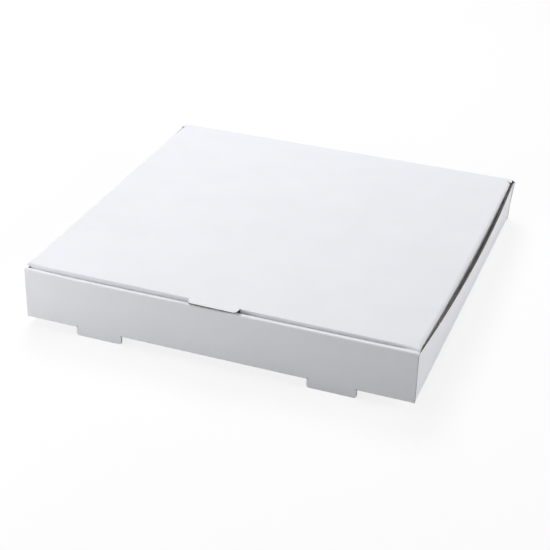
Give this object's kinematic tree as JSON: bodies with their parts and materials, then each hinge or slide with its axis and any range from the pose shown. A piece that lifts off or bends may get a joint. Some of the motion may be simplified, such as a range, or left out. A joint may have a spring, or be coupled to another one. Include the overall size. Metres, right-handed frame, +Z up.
{
  "type": "pizza box",
  "caption": "Shallow square box folded from one sheet of white corrugated board, with a hinged tuck-in lid, rolled front wall, pull tab and small front feet.",
  "frame": {"origin": "bottom centre of the closed box, on the plane under its feet", "axes": "+Z up; -Y towards the front wall with the pull tab; +X to the right as seen from the front"},
  "size_m": [0.3469, 0.3424, 0.0566],
  "materials": {
    "tray_board": "matt white liner",
    "lid_board": "matt white liner"
  },
  "bodies": {
    "tray": {"tray": "tray_board"},
    "lid": {"lid": "lid_board"}
  },
  "joints": [
    {"name": "lid_hinge", "type": "hinge", "parent": "tray", "child": "lid", "pos_m": [0, 0.17042, 0.048], "axis": [-1, 0, 0], "range_deg": [0, 180]}
  ]
}
